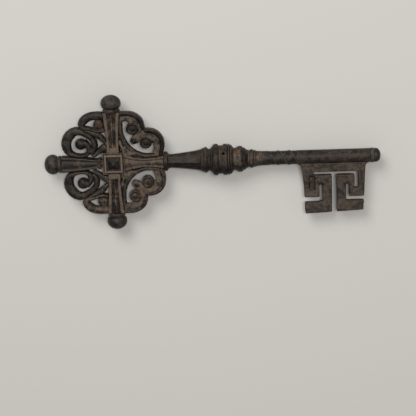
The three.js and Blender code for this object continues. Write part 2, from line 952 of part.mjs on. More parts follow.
function rightQuarter(side, flip) {
  const upperBody = cut(upperLobe(), upperArm(seam), upperFinial(seam));
  const lowerBody = cut(lowerLobe(), rightArm(seam), upperLobe(seam), collar(seam));
  const budBody = cut(bud(), upperLobe(seam), lowerLobe(seam));
  const tools = [upperArm(seam), rightArm(seam), upperLobe(seam), lowerLobe(seam), collar(seam)];
  return [
    piece(`lobe_outer_${side}`, upperBody, "worn", flip),
    piece(`lobe_inner_${side}`, lowerBody, "worn", flip),
    piece(`bud_${side}`, budBody, "patina", flip),
    piece(`cove_${side}`, cut(cove(), ...tools), "patina", flip),
  ];
}

const upArm = finishedArm(
  upperArm(0),
  uprightReach,
  finialPegRadius,
  finialPegLength,
  rightAngle,
);
const outArm = finishedArm(
  join(leftArm(0), leftArmCollar()),
  levelReach,
  finialPegRadius,
  finialPegLength,
  Math.PI,
);
const stemArm = finishedArm(rightArm(0), collarStart, spigotRadius, spigotLength, 0);
const pinHalf = knopRadius * knopWaistShare - pinSink;

const key = new THREE.Group();
key.add(
  piece("boss_block", bossBlock(), "patina"),
  piece("nailhead_front", nailhead(), "dark"),
  piece("nailhead_back", nailhead(), "dark", acrossFace),
  piece("arm_upper", upArm, "patina"),
  piece("arm_lower", upArm, "patina", acrossAxis),
  piece("arm_left", outArm, "worn"),
  piece("arm_stem", stemArm, "patina"),
  piece("finial_upper", upperFinial(0), "dark"),
  piece("finial_lower", upperFinial(0), "dark", acrossAxis),
  piece("finial_left", finial(levelReach, Math.PI), "dark"),
  ...leftQuarter("upper", [1, 1, 1]),
  ...leftQuarter("lower", acrossAxis),
  ...rightQuarter("upper", [1, 1, 1]),
  ...rightQuarter("lower", acrossAxis),
  piece("collar", collar(), "dark"),
  piece("baluster", baluster(), "worn"),
  piece("knop", knop(), "dark"),
  piece("knop_pin", crossPin(pinHalf, pinRadius), "dark"),
  piece("bead_ring", turnedPiece(beadShares, knopEnd, beadLength, beadRadius), "worn"),
  piece("ferrule", turnedPiece(ferruleShares, beadEnd, ferruleLength, ferruleRadius), "worn"),
  piece("twisted_shank", twistedShank(), "worn"),
  piece("barrel", barrel(), "patina"),
  piece("tip", tip(), "dark"),
  piece("bit", bit(), "patina"),
);
key.position.set((levelReach + finialLength - tipEnd) / 2, 0, knopRadius);

export default key;
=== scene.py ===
"""Looks of the decorative skeleton key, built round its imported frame."""

import math

import bpy
from bpy.props import FloatProperty, FloatVectorProperty, IntProperty, PointerProperty
from mathutils import Matrix, Vector


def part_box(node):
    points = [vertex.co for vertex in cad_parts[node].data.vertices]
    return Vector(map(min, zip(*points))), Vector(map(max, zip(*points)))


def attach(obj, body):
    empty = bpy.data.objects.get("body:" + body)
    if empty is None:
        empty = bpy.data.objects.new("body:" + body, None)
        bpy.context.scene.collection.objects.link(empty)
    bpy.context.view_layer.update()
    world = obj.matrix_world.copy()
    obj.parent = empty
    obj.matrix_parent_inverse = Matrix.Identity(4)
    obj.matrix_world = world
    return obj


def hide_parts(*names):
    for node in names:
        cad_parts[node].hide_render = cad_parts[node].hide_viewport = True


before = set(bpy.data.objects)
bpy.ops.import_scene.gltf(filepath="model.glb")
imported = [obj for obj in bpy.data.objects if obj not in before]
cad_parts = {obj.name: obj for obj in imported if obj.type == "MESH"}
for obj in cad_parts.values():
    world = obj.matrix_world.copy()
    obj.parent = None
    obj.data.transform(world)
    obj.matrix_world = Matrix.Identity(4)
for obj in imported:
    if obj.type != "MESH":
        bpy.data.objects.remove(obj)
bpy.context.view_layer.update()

bl_info = {
    "name": "Skeleton Key",
    "version": (1, 0, 0),
    "blender": (4, 5, 0),
    "location": "3D View > Sidebar > Key",
    "description": "Dresses the frame of a decorative skeleton key in aged cast iron",
    "category": "Add Mesh",
}

MM = 0.001
QUARTER = math.pi / 2

# Upper is towards +Y, which is up in the photo, and the bit points towards -Y
SIDES = ("upper", "lower")

# Places along the stem come from the frame: each piece starts where its own box does, because its
# spigot reaches towards the tip, and ends where the next one starts
AXIS_Z = (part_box("barrel")[0].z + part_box("barrel")[1].z) / 2
BOW = (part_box("boss_block")[0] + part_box("boss_block")[1]) / 2
STEM = ("knop", "bead_ring", "ferrule", "twisted_shank", "barrel", "tip")
STARTS = {node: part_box(node)[0].x for node in STEM}
STARTS["collar"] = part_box("collar")[0].x
STARTS["baluster"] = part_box("collar")[1].x
ENDS = {node: STARTS[after] for node, after in zip(STEM, STEM[1:])}
ENDS["collar"] = STARTS["baluster"]
ENDS["baluster"] = STARTS["knop"]
ENDS["tip"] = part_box("tip")[1].x


def mm(value):
    """Millimetres as metres."""
    return value * MM


# Turned profiles: distance along the piece as a share of its length and radius in millimetres
FINIAL_ROWS = [
    (0.0, 7.3), (0.03, 7.65), (0.08, 7.75), (0.16, 7.7), (0.19, 7.45), (0.215, 7.0), (0.245, 6.95),
    (0.27, 7.35), (0.31, 8.1), (0.37, 8.65), (0.44, 8.98), (0.51, 9.1), (0.59, 9.02), (0.67, 8.7),
    (0.75, 8.1), (0.83, 7.1), (0.9, 5.75), (0.95, 4.3), (0.985, 2.6), (1.0, 0.9),
]
COLLAR_ROWS = [
    (0.0, 7.4), (0.05, 7.9), (0.16, 8.5), (0.3, 8.72), (0.55, 8.75), (0.7, 8.6), (0.8, 8.0),
    (0.86, 7.3), (0.92, 6.8), (1.0, 6.6),
]
KNOP_ROWS = [
    (0.0, 11.0), (0.02, 10.3), (0.05, 9.9), (0.1, 9.9), (0.13, 10.4), (0.15, 11.3), (0.18, 11.5),
    (0.2, 12.5), (0.24, 13.7), (0.29, 14.2), (0.34, 14.4), (0.38, 14.2), (0.41, 13.6),
    (0.43, 12.8), (0.46, 12.5), (0.475, 13.0), (0.505, 13.0), (0.52, 12.5), (0.57, 12.7),
    (0.6, 13.3), (0.63, 13.9), (0.67, 14.1), (0.735, 14.15), (0.75, 13.9), (0.76, 13.1),
    (0.785, 13.1), (0.795, 13.9), (0.81, 14.15), (0.84, 14.1), (0.855, 13.7), (0.865, 12.9),
    (0.89, 12.9), (0.9, 13.3), (0.92, 13.2), (0.94, 12.4), (0.97, 11.4), (1.0, 10.7),
]
BEAD_ROWS = [
    (0.0, 10.4), (0.03, 10.0), (0.08, 9.9), (0.16, 10.2), (0.24, 10.8), (0.3, 11.35), (0.36, 11.65),
    (0.44, 11.75), (0.52, 11.75), (0.57, 11.5), (0.61, 10.9), (0.645, 10.3), (0.68, 10.15),
    (0.72, 10.2), (0.76, 9.95), (0.8, 9.4), (0.88, 8.5), (0.95, 8.0), (1.0, 7.75),
]
FERRULE_ROWS = [
    (0.0, 7.7), (0.04, 7.6), (0.08, 7.5), (0.12, 7.9), (0.16, 8.3), (0.22, 8.4), (0.3, 8.4),
    (0.35, 8.2), (0.37, 7.6), (0.4, 7.2), (0.44, 7.25), (0.46, 7.75), (0.51, 7.8), (0.55, 7.3),
    (0.6, 6.95), (0.7, 6.75), (0.85, 6.65), (1.0, 6.55),
]
BARREL_ROWS = [(0.0, 6.3), (0.03, 6.25), (0.3, 6.22), (0.6, 6.25), (0.98, 6.25), (1.0, 6.2)]
TIP_ROWS = [
    (0.0, 6.2), (0.04, 6.5), (0.1, 6.6), (0.27, 6.6), (0.33, 6.4), (0.36, 5.95), (0.4, 5.9),
    (0.44, 6.25), (0.55, 6.3), (0.66, 6.1), (0.76, 5.6), (0.85, 4.8), (0.92, 3.75), (0.97, 2.4),
    (1.0, 0.8),
]
# The eight-sided baluster's radii reach its corners
BALUSTER_ROWS = [
    (0.0, 6.7), (0.04, 6.4), (0.09, 6.45), (0.27, 7.05), (0.48, 8.0), (0.69, 8.95), (0.84, 10.2),
    (0.9, 10.5),
]
LIP_ROWS = [
    (0.845, 9.3), (0.855, 10.5), (0.87, 10.9), (0.885, 10.6), (0.9, 10.5), (0.915, 10.9),
    (0.93, 11.5), (0.955, 11.7), (0.98, 11.6), (1.0, 10.9),
]
SHANK_NECK_ROWS = [(0.0, 6.55), (0.1, 6.5), (0.6, 6.45), (1.0, 6.3)]

# The sizes below are in millimetres, and places on the bow count from its centre

# Groove round the boss's frame: outer and inner width, and its lower and upper height over the
# key's middle plane
GROOVE_WIDTHS = (19.1, 16.9)
GROOVE_HEIGHTS = (4.2, 6.8)

# Blocks that close the flutes' inner ends: place out along the arm and over the middle plane
FLUTE_END_OUT = 12.2
FLUTE_END_LIFT = 3
FLUTE_END_SIZE = (9, 5, 3.6)
FLUTE_END_EDGE = 0.9

# Webs in the wedges between arms and coves: X, Y, turn in degrees, length and width
UPRIGHT_WEB = (8.1, 15.3, 107, 13.5, 3.4)
STEM_WEBS = ((14.6, 8.3, 7, 13.5, 3.4), (12.2, 11.4, -48, 9.5, 4.6))
WEB_DEPTH = 8.2
WEB_EDGE = 1.2

FINIAL_LENGTH = 15.8
BALUSTER_SIDES = 8

# Pin through the knop: its hole, and the mesh cells of the pin itself
PIN_HOLE_RADIUS = 1.6
PIN_HOLE_DEPTH = 34
PIN_HOLE_SIDES = 24
PIN_GRAIN = 0.2

# Shank: radius of the bar between the wound ridges, and radius that the ridges reach
SHANK_CORE = 6.15
SHANK_REACH = 6.8
NECK_OVERLAP = 1
STRAND_SIDES = 20
STRAND_STEPS = 48

# Bit: the wider slot end, the dents over the hooks and the recess with its round foot on one leaf.
# Its askew edges each have an axis, a limit, the centre of their turn and degrees
SLOT_END = (88, -41.6)
SLOT_END_SIZE = (19, 1.4, 12)
DENTS = ((98.2, -25.8), (122.4, -25.8))
DENT_RADIUS = 2.3
DENT_DEPTH = 2
DENT_LIFT = 3.4
RECESS_FOOT = (90.3, -28.9)
RECESS_WIDTH = 5
RECESS_LENGTH = 11.4
RECESS_DEPTH = 2.6
RECESS_LIFT = 3.1
ASKEW_EDGES = (("x", 82.6, (79.3, -29.5), 3.2), ("y", -47.5, (118, -51), 2.6))
ASKEW_EASE = 5

# How far the cast copies swell past their nodes, which closes the seams
BOSS_SWELL = 0.05
ARM_SWELL = 0.1
SCROLL_SWELL = 0.22
LOBE_SWELL = 0.18
BIT_SWELL = 0.05
PIN_SWELL = 0.02

# Smoothing passes of pieces that keep crisp edges
NAIL_PASSES = 2
TURNED_PASSES = 2
BALUSTER_PASSES = 3
SHANK_PASSES = 5

# Faces that meet at more than this keep a sharp edge
SHARP_TURN = math.radians(50)

# Noises of the iron's skin: scale, detail and roughness, then the values that count as 0 and 1
BROAD_NOISE = (105.0, 4.0, 0.6, 0.36, 0.64)
BLOTCH_NOISE = (270.0, 5.0, 0.65, 0.38, 0.62)
FINE_NOISE = (800.0, 5.0, 0.7, 0.36, 0.64)
STAIN_NOISE = (170.0, 6.0, 0.72, 0.58, 0.7)
SPECK_NOISE = (1700.0, 3.0, 0.6)
SPECK_RANGE = (0.35, 0.7)
PIT_SCALE = 760.0
PIT_RANGE = (0.08, 0.3)

# Where a mask begins and where it is full: bend of the skin, which is 0.5 on a flat, and the
# normal's Y
EDGE_BEND = (0.507, 0.545)
# The corner mask lays dirt and painted shade; the normal's Y places painted shade on lower edges and on
# sides that face -Y
GRIME_AND_SHADE_BEND = (0.495, 0.46)
LOWER_EDGE_SHADE_Y = (0.55, 0.15)
UNDER_SHADE_Y = (-0.05, -0.5)

# Nearly black, for dirt and for painted shade
GRIME_AND_SHADE_BLACK = (0.006, 0.0055, 0.005, 1)

# What the skin takes where a material names nothing else: strengths, and places in millimetres
SKIN_VALUES = {
    # By default every skin has dirt and painted shade in its corners, and painted shade on the sides that
    # face -Y
    "Patches": 0.5, "Edge Wear": 0.4, "Grime": 0.8, "Rust": 0.1, "Raised Dark": 0.0, "Sunk Dark": 0.0,
    "Level": 4.0, "Under Dark": 0.3, "Edge Dark": 0.0, "Band From": 0.0, "Band To": 0.0,
    "Band Dark": 0.0, "Spot Size": -9.0,
}

# Stage, in metres: each lamp has a name, a place and a size
MAIN_LAMP = ("main light", Vector((-0.6, 1.35, 1.65)), 1.1)
FILL_LAMP = ("fill light", Vector((0.25, 0.55, 2.15)), 0.5)
SKY_COLOUR = (1, 0.985, 0.965, 1)
FLOOR_SIZE = 6
CLIP_START = 0.05

# Width of the camera's frame in millimetres
SENSOR_WIDTH = 36


class KeyCastSettings(bpy.types.PropertyGroup):
    """How fine the casting is and how much its edges are softened."""

    grain: FloatProperty(
        name="Mesh grain", description="Mesh cells of the scrolls, lobes and bit",
        default=0.36 * MM, subtype="DISTANCE", unit="LENGTH",
    )
    fine_grain: FloatProperty(
        name="Fine mesh grain", description="Mesh cells of the boss, arms, baluster and shank",
        default=0.28 * MM, subtype="DISTANCE", unit="LENGTH",
    )
    turned_grain: FloatProperty(
        name="Turned mesh grain", description="Mesh cells of the turned mouldings",
        default=0.24 * MM, subtype="DISTANCE", unit="LENGTH",
    )
    scroll_passes: IntProperty(
        name="Scroll softening", description="Smoothing passes on the left scrolls and leaves",
        default=40, subtype="UNSIGNED",
    )
    arm_passes: IntProperty(
        name="Arm softening", description="Smoothing passes on the four arms",
        default=12, subtype="UNSIGNED",
    )
    bit_passes: IntProperty(
        name="Bit softening", description="Smoothing passes on the bit",
        default=20, subtype="UNSIGNED",
    )
    plate_passes: IntProperty(
        name="Plate softening", description="Smoothing passes on the boss, lobes, buds and coves",
        default=5, subtype="UNSIGNED",
    )
    unevenness: FloatProperty(
        name="Unevenness", description="How far the cast skin wanders from its true surface",
        default=0.16 * MM, subtype="DISTANCE", unit="LENGTH",
    )
    lump_size: FloatProperty(
        name="Lump size", description="Size of the low lumps of the cast skin",
        default=5 * MM, subtype="DISTANCE", unit="LENGTH",
    )
    round_sides: IntProperty(
        name="Sides", description="Sides of a turned piece",
        default=72, subtype="UNSIGNED",
    )
    shank_neck: FloatProperty(
        name="Shank neck", description="Smooth length of the shank beside the ferrule",
        default=6 * MM, subtype="DISTANCE", unit="LENGTH",
    )
    shank_pitch: FloatProperty(
        name="Shank pitch", description="Length of one turn of the shank's rope twist",
        default=19.5 * MM, subtype="DISTANCE", unit="LENGTH",
    )
    shank_strand: FloatProperty(
        name="Shank ridge", description="Radius of one of the two cords wound round the shank",
        default=1.3 * MM, subtype="DISTANCE", unit="LENGTH",
    )


class KeyColourSettings(bpy.types.PropertyGroup):
    """Colours of the aged iron."""

    black: FloatVectorProperty(
        name="Blackened iron", description="Darkest skin, on the balls and rims",
        default=(0.011, 0.0092, 0.008), subtype="COLOR", size=3,
    )
    iron: FloatVectorProperty(
        name="Dark iron", description="Rubbed dark iron of the scrolls and stem",
        default=(0.023, 0.0185, 0.015), subtype="COLOR", size=3,
    )
    brown: FloatVectorProperty(
        name="Brown patina", description="Matt brown skin of the flats",
        default=(0.052, 0.037, 0.0265), subtype="COLOR", size=3,
    )
    tan: FloatVectorProperty(
        name="Worn tan", description="Dusty strips and ledges, and edges of most pieces",
        default=(0.115, 0.083, 0.058), subtype="COLOR", size=3,
    )
    pale: FloatVectorProperty(
        name="Pale line", description="Most rubbed edges, round the boss and along the coves",
        default=(0.2, 0.155, 0.112), subtype="COLOR", size=3,
    )
    worn: FloatVectorProperty(
        name="Reddish wear", description="Rubbed upper edges of the bit",
        default=(0.14, 0.078, 0.05), subtype="COLOR", size=3,
    )
    rust: FloatVectorProperty(
        name="Rust", description="Small rust stains",
        default=(0.16, 0.056, 0.022), subtype="COLOR", size=3,
    )
    floor: FloatVectorProperty(
        name="Floor", description="Colour of the plain floor",
        default=(0.56, 0.54, 0.51), subtype="COLOR", size=3,
    )


class KeyStageSettings(bpy.types.PropertyGroup):
    """Camera and lights."""

    camera_tilt: FloatProperty(
        name="Camera tilt", description="How far the camera leans from the key's face towards +Y",
        default=math.radians(16.02), subtype="ANGLE", unit="ROTATION",
    )
    camera_side: FloatProperty(
        name="Camera side", description="How far the camera stands towards the tip",
        default=math.radians(2.15), subtype="ANGLE", unit="ROTATION",
    )
    camera_roll: FloatProperty(
        name="Camera roll", description="Turn of the camera about its own axis",
        default=math.radians(-2.25), subtype="ANGLE", unit="ROTATION",
    )
    camera_distance: FloatProperty(
        name="Camera distance", description="From the aimed point to the camera",
        default=1.1905, subtype="DISTANCE", unit="LENGTH",
    )
    camera_aim: FloatVectorProperty(
        name="Camera aim", description="Point of the stem's level that the camera looks at",
        default=(-5.16 * MM, -45.4 * MM), subtype="XYZ", size=2, unit="LENGTH",
    )
    camera_lens: FloatProperty(
        name="Lens", description="Focal length over a 36 mm frame, in millimetres",
        default=112.5, unit="CAMERA",
    )
    sky: FloatProperty(
        name="Sky", description="Strength of the even light from all round",
        default=0.32, subtype="FACTOR",
    )
    lamp_power: FloatProperty(
        name="Lamp power", description="Power of the main soft light", default=26.0, unit="POWER",
    )
    fill_power: FloatProperty(
        name="Fill power", description="Power of the light from the camera's side",
        default=21.0, unit="POWER",
    )


def cast():
    """The casting settings."""
    return bpy.context.scene.key_cast


def hues():
    """The colour settings."""
    return bpy.context.scene.key_colours


# Modelling


def bare_selection():
    """Nothing is selected, in object mode."""
    if bpy.context.mode != "OBJECT":
        bpy.ops.object.mode_set(mode="OBJECT")
    bpy.ops.object.select_all(action="DESELECT")


def only(piece):
    """Selects one object and makes it the active one."""
    bare_selection()
    piece.select_set(True)
    bpy.context.view_layer.objects.active = piece


def apply_place(piece):
    """Puts the object's place into its mesh."""
    only(piece)
    bpy.ops.object.transform_apply(location=True, rotation=True, scale=True)


def apply_modifier(piece, kind, **values):
    """Adds a modifier with these values and applies it."""
    only(piece)
    modifier = piece.modifiers.new(kind.title(), kind)
    for name, value in values.items():
        setattr(modifier, name, value)
    bpy.ops.object.modifier_apply(modifier=modifier.name)


def smooth_shading(piece):
    """Smooth faces, with edges kept where they turn sharply."""
    only(piece)
    bpy.ops.object.shade_smooth_by_angle(angle=SHARP_TURN)


def lumps():
    """The slow noise that makes a cast skin uneven."""
    texture = bpy.data.textures.get("cast lumps")
    if texture is None:
        texture = bpy.data.textures.new("cast lumps", type="CLOUDS")
        texture.noise_scale = cast().lump_size
        texture.noise_depth = 2
    return texture


def uneven(piece):
    """Moves the skin in and out a little, as a sand casting's does."""
    apply_modifier(
        piece, "DISPLACE", texture=lumps(), texture_coords="GLOBAL",
        strength=cast().unevenness, mid_level=0.5,
    )


def place_in_key(piece, node, material):
    """Hands a finished piece over to the frame in place of its node."""
    piece.data.materials.clear()
    piece.data.materials.append(material)
    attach(piece, "root")
    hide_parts(node)


def copy_of_node(node, name):
    """A merged copy of a frame node, to be worked on."""
    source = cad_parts[node]
    piece = bpy.data.objects.new(name, source.data.copy())
    bpy.context.scene.collection.objects.link(piece)
    only(piece)
    bpy.ops.object.mode_set(mode="EDIT")
    bpy.ops.mesh.select_all(action="SELECT")
    bpy.ops.mesh.remove_doubles(threshold=mm(0.002))
    close_body()
    return piece


def start_body(place, radius, sides):
    """A disc that faces along X, left in edit mode to be drawn out."""
    bare_selection()
    bpy.ops.mesh.primitive_circle_add(
        vertices=sides, radius=radius, fill_type="NGON", location=place, rotation=(0, QUARTER, 0),
    )
    piece = bpy.context.object
    apply_place(piece)
    bpy.ops.object.mode_set(mode="EDIT")
    bpy.ops.mesh.select_all(action="SELECT")
    return piece


def close_body():
    """Turns all faces outwards and leaves edit mode."""
    bpy.ops.mesh.select_all(action="SELECT")
    bpy.ops.mesh.normals_make_consistent(inside=False)
    bpy.ops.object.mode_set(mode="OBJECT")


def block(place, sides, turn=0.0):
    """A box at a place in metres with its sides in millimetres, to be joined on or cut away."""
    bare_selection()
    bpy.ops.mesh.primitive_cube_add(
        size=1, location=place, rotation=(0, 0, turn), scale=[mm(side) for side in sides],
    )
    piece = bpy.context.object
    apply_place(piece)
    return piece


def plug(place, radius, depth, sides=32, lean=0.0):
    """A cylinder at a place in metres with its sizes in millimetres, to be cut away."""
    bare_selection()
    bpy.ops.mesh.primitive_cylinder_add(
        vertices=sides, radius=mm(radius), depth=mm(depth), location=place, rotation=(lean, 0, 0),
    )
    piece = bpy.context.object
    apply_place(piece)
    return piece


def cut_away(piece, tools):
    """Cuts each tool's shape out of the piece and takes the tool away."""
    for tool in tools:
        apply_modifier(piece, "BOOLEAN", operation="DIFFERENCE", object=tool, solver="EXACT")
        bpy.data.objects.remove(tool)


def melted(pieces, grain, passes):
    """Joins pieces into one cast body with softened edges."""
    bare_selection()
    for piece in pieces:
        piece.select_set(True)
    body = pieces[0]
    bpy.context.view_layer.objects.active = body
    bpy.ops.object.join()
    apply_modifier(body, "REMESH", mode="VOXEL", voxel_size=grain, adaptivity=0.0)
    apply_modifier(body, "SMOOTH", factor=0.5, iterations=passes)
    uneven(body)
    smooth_shading(body)
    return body


def cast_copy(node, grain, passes, swell, tools=(), fills=()):
    """A node as it comes from the sand: fine mesh, soft edges, filled corners, a little swollen."""
    piece = copy_of_node(node, node + "_cast")
    cut_away(piece, tools)
    apply_modifier(piece, "DISPLACE", strength=mm(swell), mid_level=0.0)
    return melted((piece, *fills), grain, passes)


def turned(name, rows, start, end, sides):
    """A closed turned body along +X from rows of places and radii."""
    length = end - start
    share, radius = rows[0]
    x = start + length * share
    piece = start_body((x, 0, AXIS_Z), mm(radius), sides)
    piece.name = name
    for share, next_radius in rows[1:]:
        next_x = start + length * share
        bpy.ops.mesh.extrude_region_move(TRANSFORM_OT_translate={"value": (next_x - x, 0, 0)})
        grow = next_radius / radius
        bpy.ops.transform.resize(value=(1, grow, grow), center_override=(next_x, 0, AXIS_Z))
        x = next_x
        radius = next_radius
    close_body()
    return piece


# Materials


def make_node(tree, kind, x, y, **values):
    """A shader node at a place, with its settings."""
    node = tree.nodes.new(kind)
    node.location = (x, y)
    for name, value in values.items():
        setattr(node, name, value)
    return node


class SkinTree:
    """Short ways to add nodes to a shader tree."""

    def __init__(self, tree):
        self.tree = tree
        self.x = -1500

    def node(self, kind, **values):
        """A new node, to the right of the last one."""
        self.x += 60
        return make_node(self.tree, kind, self.x, -(self.x * 7) % 900, **values)

    def feed(self, socket, value):
        """Links a socket to another, or sets its value."""
        if isinstance(value, bpy.types.NodeSocket):
            self.tree.links.new(value, socket)
        else:
            socket.default_value = value

    def sum(self, operation, first, second=0.0, clamp=False):
        """Result of one piece of arithmetic."""
        made = self.node("ShaderNodeMath", operation=operation, use_clamp=clamp)
        self.feed(made.inputs[0], first)
        self.feed(made.inputs[1], second)
        return made.outputs[0]

    def times(self, first, second, clamp=False):
        """Product of two values."""
        return self.sum("MULTIPLY", first, second, clamp)

    def plus(self, first, second, clamp=False):
        """Sum of two values."""
        return self.sum("ADD", first, second, clamp)

    def minus(self, first, second, clamp=False):
        """First value less the second."""
        return self.sum("SUBTRACT", first, second, clamp)

    def noise(self, where, scale, detail, rough):
        """Noise between 0 and 1."""
        made = self.node("ShaderNodeTexNoise")
        self.feed(made.inputs["Vector"], where)
        self.feed(made.inputs["Scale"], scale)
        self.feed(made.inputs["Detail"], detail)
        self.feed(made.inputs["Roughness"], rough)
        return made.outputs["Fac"]

    def ranged(self, value, low, high):
        """0 where the value is low, 1 where it is high."""
        made = self.node("ShaderNodeMapRange")
        self.feed(made.inputs["Value"], value)
        self.feed(made.inputs["From Min"], low)
        self.feed(made.inputs["From Max"], high)
        return made.outputs["Result"]

    def ranged_noise(self, where, scale, detail, rough, low, high):
        """Noise that is 0 where it is low and 1 where it is high."""
        return self.ranged(self.noise(where, scale, detail, rough), low, high)

    def step(self, length):
        """0 where a length is below nought and 1 above it, with a soft change."""
        return self.ranged(length, -mm(0.3), mm(0.3))

    def mix(self, share, first, second, blend="MIX"):
        """Two colours mixed."""
        made = self.node("ShaderNodeMix", data_type="RGBA", blend_type=blend)
        self.feed(made.inputs["Factor"], share)
        colours = [socket for socket in made.inputs if socket.type == "RGBA"]
        self.feed(colours[0], first)
        self.feed(colours[1], second)
        return [socket for socket in made.outputs if socket.type == "RGBA"][0]


def skin_sockets(group):
    """Names what the skin takes and gives."""
    socket = group.interface.new_socket
    for name in ("Low Colour", "High Colour", "Edge Colour", "Rust Colour"):
        socket(name, in_out="INPUT", socket_type="NodeSocketColor")
    for name in SKIN_VALUES:
        socket(name, in_out="INPUT", socket_type="NodeSocketFloat")
    socket("Spot", in_out="INPUT", socket_type="NodeSocketVector")
    socket("Color", in_out="OUTPUT", socket_type="NodeSocketColor")
    for name in ("Roughness", "Metallic", "Height"):
        socket(name, in_out="OUTPUT", socket_type="NodeSocketFloat")


def skin_group():
    """Shader group of an aged cast skin: patches, dirt and painted shade in corners, rubbed edges,
    painted shade on edges and sides turned from +Y, rust and grain.
    """
    group = bpy.data.node_groups.get("Aged cast skin")
    if group:
        return group
    group = bpy.data.node_groups.new("Aged cast skin", "ShaderNodeTree")
    skin_sockets(group)
    make = SkinTree(group)
    given = make.node("NodeGroupInput").outputs
    where = make.node("ShaderNodeTexCoord").outputs["Object"]
    bend = make.node("ShaderNodeNewGeometry").outputs["Pointiness"]

    # Patina in patches of about a centimetre, blotched at four millimetres and mottled at one
    broad = make.ranged_noise(where, *BROAD_NOISE)
    blotch = make.ranged_noise(where, *BLOTCH_NOISE)
    fine = make.ranged_noise(where, *FINE_NOISE)
    speck = make.noise(where, *SPECK_NOISE)
    blend = make.plus(make.times(broad, 0.3), make.times(blotch, 0.4))
    blend = make.plus(blend, make.times(fine, 0.3))
    spread = make.times(make.minus(blend, 0.5), 1.9)

    # Height over the stem's level: raised rims or sunk flutes can be darker than the rest
    parts = make.node("ShaderNodeSeparateXYZ")
    make.feed(parts.inputs[0], where)
    height = make.sum("ABSOLUTE", make.minus(parts.outputs["Z"], AXIS_Z))
    over = make.minus(height, make.times(given["Level"], MM))
    raised = make.step(make.plus(over, make.times(spread, mm(0.25))))
    sunk = make.minus(1.0, raised)
    drop = make.plus(make.times(raised, given["Raised Dark"]), make.times(sunk, given["Sunk Dark"]))

    # A band of another tone between two places along the stem
    along = make.plus(parts.outputs["X"], make.times(spread, mm(0.4)))
    after = make.step(make.minus(along, make.times(given["Band From"], MM)))
    before = make.step(make.minus(make.times(given["Band To"], MM), along))
    drop = make.plus(drop, make.times(make.times(after, before), given["Band Dark"]))
    patches = make.minus(make.plus(spread, given["Patches"]), drop, clamp=True)
    colour = make.mix(patches, given["Low Colour"], given["High Colour"])

    # Rubbed edges, with painted shade in near black on those that don't face +Y, then dirt and painted
    # shade in the corners
    facing = make.node("ShaderNodeSeparateXYZ")
    make.feed(facing.inputs[0], make.node("ShaderNodeNewGeometry").outputs["Normal"])
    edge = make.ranged(bend, *EDGE_BEND)
    wear = make.times(edge, make.plus(make.times(fine, 0.8), 0.25))
    wear = make.times(wear, given["Edge Wear"], clamp=True)
    lower_edge_shade = make.ranged(facing.outputs["Y"], *LOWER_EDGE_SHADE_Y)
    lower_edge_shade = make.times(lower_edge_shade, given["Edge Dark"], clamp=True)
    # Wear colour on edges, and painted shade where they face away from +Y
    rubbed = make.mix(lower_edge_shade, given["Edge Colour"], GRIME_AND_SHADE_BLACK)
    colour = make.mix(wear, colour, rubbed)
    # Dirt and painted shade darken the concave corners
    corner = make.ranged(bend, *GRIME_AND_SHADE_BEND)
    grime = make.times(corner, given["Grime"], clamp=True)
    colour = make.mix(grime, colour, GRIME_AND_SHADE_BLACK)

    # Painted shade: sides that face -Y are darkened towards near black
    under = make.ranged(facing.outputs["Y"], *UNDER_SHADE_Y)
    under = make.times(under, make.plus(make.times(fine, 0.3), 0.85))
    under = make.times(under, given["Under Dark"], clamp=True)
    colour = make.mix(under, colour, GRIME_AND_SHADE_BLACK)

    # Rust stains, and one more at a place of its own
    stain = make.ranged_noise(where, *STAIN_NOISE)
    away = make.node("ShaderNodeVectorMath", operation="DISTANCE")
    make.feed(away.inputs[0], where)
    make.feed(away.inputs[1], given["Spot"])
    near = make.minus(make.times(given["Spot Size"], MM), away.outputs["Value"])
    near = make.ranged(make.plus(near, make.times(spread, mm(1.2))), 0.0, mm(1.0))
    near = make.times(near, make.times(fine, 0.5))
    rust = make.plus(make.times(stain, given["Rust"]), near, clamp=True)
    colour = make.mix(rust, colour, given["Rust Colour"])

    # Fine grain and pits
    pits = make.node("ShaderNodeTexVoronoi")
    make.feed(pits.inputs["Vector"], where)
    make.feed(pits.inputs["Scale"], PIT_SCALE)
    pit = make.ranged(pits.outputs["Distance"], *PIT_RANGE)
    grain = make.plus(make.times(make.ranged(speck, *SPECK_RANGE), 0.6), 0.65)
    grain = make.times(grain, make.plus(make.times(pit, 0.2), 0.8))
    colour = make.mix(1.0, colour, grain, blend="MULTIPLY")

    # Brown and rusty places are duller, rubbed ones smoother and dark ones more metallic
    rough = make.plus(make.times(patches, 0.25), 0.4)
    rough = make.plus(rough, make.times(rust, 0.2))
    rough = make.plus(rough, make.times(fine, 0.14))
    rough = make.minus(rough, make.times(wear, 0.1), clamp=True)
    metal = make.times(make.minus(1.0, patches), 0.5, clamp=True)
    relief = make.plus(make.times(fine, 0.6), make.times(speck, 0.3))
    relief = make.plus(relief, make.times(pit, 0.25))
    leave = make.node("NodeGroupOutput").inputs
    for name, value in (("Color", colour), ("Roughness", rough), ("Metallic", metal), ("Height", relief)):
        make.feed(leave[name], value)
    return group


